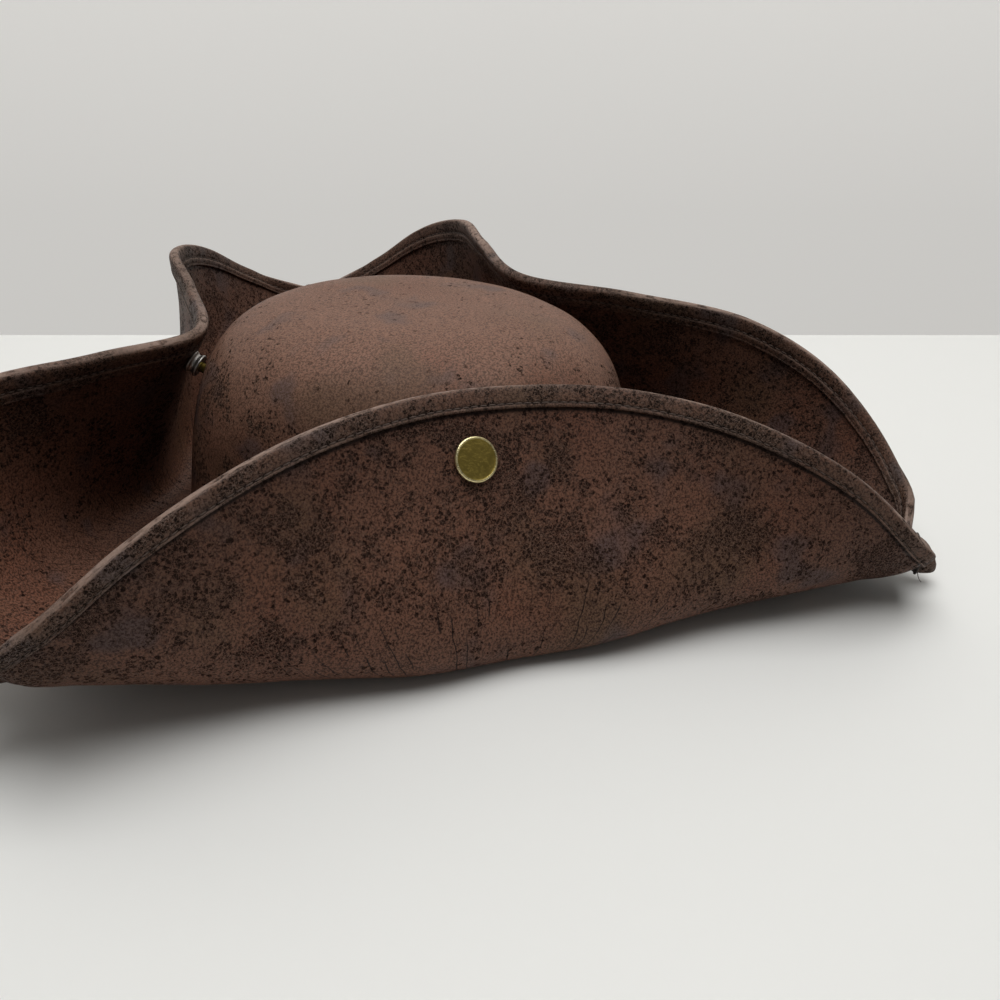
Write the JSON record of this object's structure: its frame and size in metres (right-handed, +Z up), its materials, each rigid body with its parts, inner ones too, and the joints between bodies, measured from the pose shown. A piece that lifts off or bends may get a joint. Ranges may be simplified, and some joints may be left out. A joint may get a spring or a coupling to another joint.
{
  "type": "tricorn hat",
  "caption": "Three-cornered hat of distressed brown faux leather: hollow oval crown, bound brim pinned up in flaps by brass rivets, stitched tips.",
  "frame": {"origin": "on the surface that the hat rests on, under the middle of its outline", "axes": "+Z up, the wearer faces -Y, +X to the wearer's left"},
  "size_m": [0.3534, 0.3528, 0.098],
  "materials": {
    "faux_leather": "distressed, satin, crackled dark brown",
    "binding": "distressed, satin, rubbed at the edge",
    "brass": "satin antique brass",
    "nickel": "bright nickel",
    "thread": "twisted dark thread"
  },
  "bodies": {
    "root": {"crown": "faux_leather", "brim": "faux_leather", "edge_binding": "binding", "rivet_left": "brass", "rivet_back": "brass", "rivet_right": "brass", "snap_left": "nickel", "snap_back": "nickel", "snap_right": "nickel", "tip_stitch_front": "thread", "tip_stitch_back_left": "thread", "tip_stitch_back_right": "thread"}
  },
  "joints": []
}
